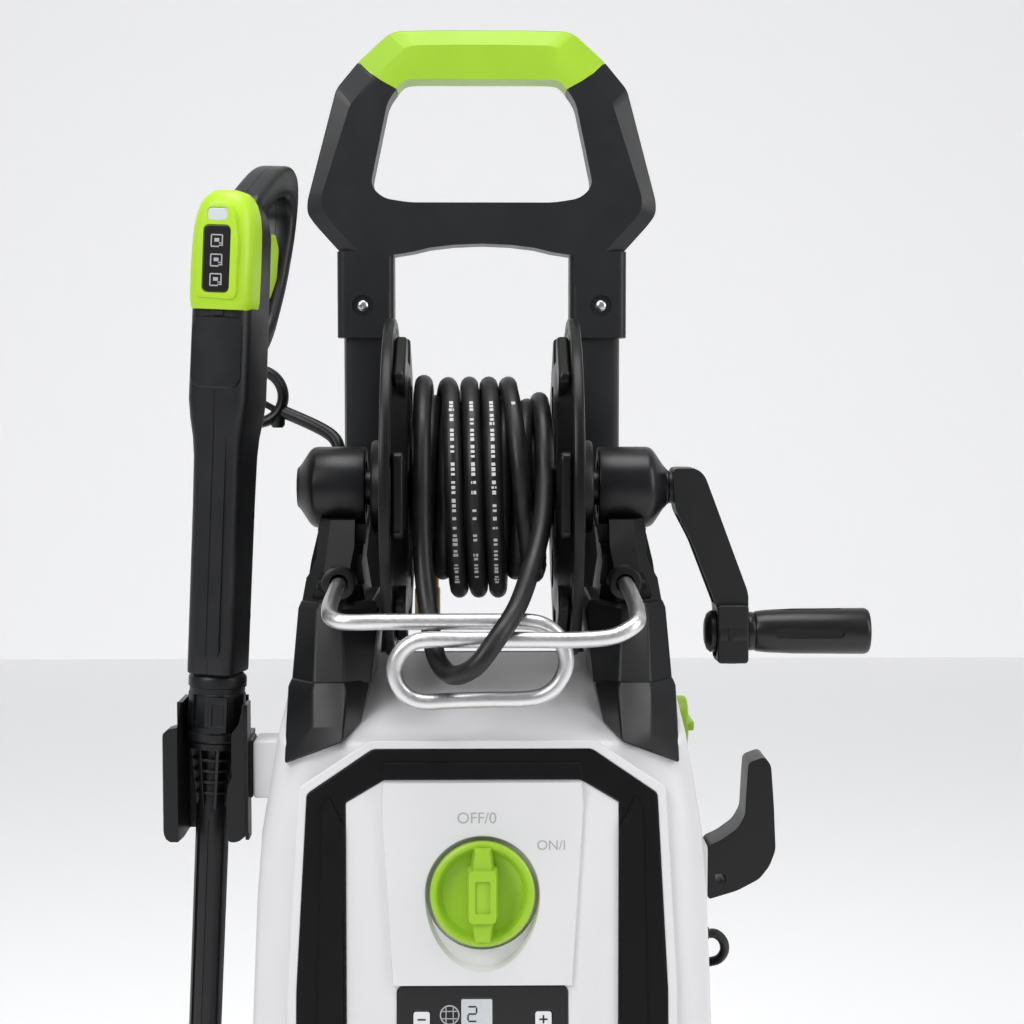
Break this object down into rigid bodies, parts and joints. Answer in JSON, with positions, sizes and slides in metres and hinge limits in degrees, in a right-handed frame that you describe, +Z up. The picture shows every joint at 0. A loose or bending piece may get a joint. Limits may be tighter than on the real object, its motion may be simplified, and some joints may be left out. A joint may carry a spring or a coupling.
{
  "type": "pressure washer",
  "caption": "Upright wheeled pressure washer with a top hose reel and crank, a telescopic handle, a front knob and display, and a spray gun parked at the side.",
  "frame": {"origin": "on the floor, in the middle of the footprint of the machine with its gun and crank", "axes": "+Z up, -Y to the front with the knob, +X to the side of the crank"},
  "size_m": [0.4612, 0.5241, 1.022],
  "materials": {
    "white_shell": "fine satin moulded ABS, white",
    "black_shell": "fine textured black plastic",
    "hub_plastic": "satin black plastic",
    "reel_plastic": "satin black plastic",
    "crank_plastic": "satin black plastic",
    "crank_grip": "grooved black plastic",
    "handle_plastic": "fine textured black plastic",
    "handle_tube": "satin black powder coat",
    "lime_plastic": "satin lime plastic",
    "gun_lime": "satin lime plastic",
    "gun_black": "fine textured black plastic",
    "display_black": "glossy black",
    "display_glass": "clear window over a pale screen",
    "guide_aluminium": "satin anodised",
    "steel": "turned",
    "brass": "turned brass",
    "pump_metal": "die cast",
    "motor_metal": "cast housing",
    "hose_rubber": "smooth black hose cover",
    "cord_rubber": "black cable sheath",
    "foot_rubber": "matt",
    "wheel_plastic": "matt black plastic"
  },
  "bodies": {
    "machine": {"front_shell": "white_shell", "control_panel": "white_shell", "gun_bracket": "white_shell", "rear_shell": "black_shell", "base_chassis": "black_shell", "front_trim": "black_shell", "column_left": "black_shell", "column_right": "black_shell", "tube_socket_left": "black_shell", "tube_socket_right": "black_shell", "gun_holder": "black_shell", "accessory_ring": "black_shell", "hub_left": "hub_plastic", "hub_right": "hub_plastic", "display_bezel": "display_black", "power_switch": "display_black", "display_lens": "display_glass", "hose_guide": "guide_aluminium", "bearing_left": "steel", "bearing_right": "steel", "wheel_axle": "steel", "hose_connector": "brass", "water_inlet": "brass", "pump_head": "pump_metal", "motor": "motor_metal", "hose_strand": "hose_rubber", "power_cord": "cord_rubber", "cord_coil": "cord_rubber", "cord_tail": "cord_rubber", "power_plug": "cord_rubber", "cord_gland": "cord_rubber", "foot_left": "foot_rubber", "foot_right": "foot_rubber"},
    "handle": {"handle_grip": "lime_plastic", "handle_loop": "handle_plastic", "handle_tube_left": "handle_tube", "handle_tube_right": "handle_tube"},
    "reel": {"reel_drum": "reel_plastic", "reel_flange_left": "reel_plastic", "reel_flange_right": "reel_plastic", "reel_axle": "steel", "hose_coil": "hose_rubber", "crank_arm": "crank_plastic", "crank_pin": "steel"},
    "gun": {"gun_body_left": "gun_black", "gun_body_right": "gun_black", "gun_top_cover": "gun_lime", "gun_display": "display_black", "lance_nut": "gun_black", "lance_tube": "gun_black"},
    "crank_grip": {"crank_grip": "crank_grip"},
    "knob": {"power_knob": "lime_plastic"},
    "minus": {"key_minus": "white_shell"},
    "plus": {"key_plus": "white_shell"},
    "lock": {"handle_lock_knob": "lime_plastic"},
    "hook": {"cable_hook": "black_shell"},
    "trigger": {"trigger": "gun_lime"},
    "nozzle": {"spray_nozzle": "gun_black"},
    "wheel_l": {"wheel_left": "wheel_plastic"},
    "wheel_r": {"wheel_right": "wheel_plastic"}
  },
  "joints": [
    {"name": "handle_slide", "type": "slide", "parent": "machine", "child": "handle", "axis": [0, 0, 1], "range_m": [-0.192, 0]},
    {"name": "reel_spin", "type": "hinge", "parent": "machine", "child": "reel", "pos_m": [-0.02865, -0.02904, 0.7], "axis": [1, 0, 0], "continuous": true},
    {"name": "crank_grip_spin", "type": "hinge", "parent": "reel", "child": "crank_grip", "pos_m": [0.19135, -0.02904, 0.603], "axis": [1, 0, 0], "continuous": true},
    {"name": "power_knob_turn", "type": "hinge", "parent": "machine", "child": "knob", "pos_m": [-0.02865, -0.16195, 0.45921], "axis": [0, -0.995, 0.0995], "range_deg": [-55, 0]},
    {"name": "key_minus_press", "type": "slide", "parent": "machine", "child": "minus", "axis": [0, 0.995, -0.0995], "range_m": [0, 0.0015], "stiffness_N_per_m": 300},
    {"name": "key_plus_press", "type": "slide", "parent": "machine", "child": "plus", "axis": [0, 0.995, -0.0995], "range_m": [0, 0.0015], "stiffness_N_per_m": 300},
    {"name": "handle_lock_turn", "type": "hinge", "parent": "machine", "child": "lock", "pos_m": [0.11735, 0.03696, 0.53], "axis": [1, 0, 0], "range_deg": [0, 90]},
    {"name": "cable_hook_swivel", "type": "hinge", "parent": "machine", "child": "hook", "pos_m": [0.12535, -0.00904, 0.437], "axis": [1, 0, 0], "range_deg": [0, 180]},
    {"name": "gun_lift", "type": "slide", "parent": "machine", "child": "gun", "axis": [0.0454, 0, 0.999], "range_m": [0, 0.25]},
    {"name": "trigger_squeeze", "type": "hinge", "parent": "gun", "child": "trigger", "pos_m": [-0.17916, -0.06273, 0.85842], "axis": [0.9734, -0.225, -0.0442], "range_deg": [0, 12], "stiffness_Nm_per_rad": 0.5, "springref_deg": -2.86},
    {"name": "nozzle_twist", "type": "hinge", "parent": "gun", "child": "nozzle", "pos_m": [-0.21725, -0.08904, 0.15342], "axis": [0.0454, 0, 0.999], "range_deg": [0, 90]},
    {"name": "wheel_left_spin", "type": "hinge", "parent": "machine", "child": "wheel_l", "pos_m": [-0.20565, 0.08096, 0.1], "axis": [1, 0, 0], "continuous": true},
    {"name": "wheel_right_spin", "type": "hinge", "parent": "machine", "child": "wheel_r", "pos_m": [0.14835, 0.08096, 0.1], "axis": [1, 0, 0], "continuous": true}
  ]
}
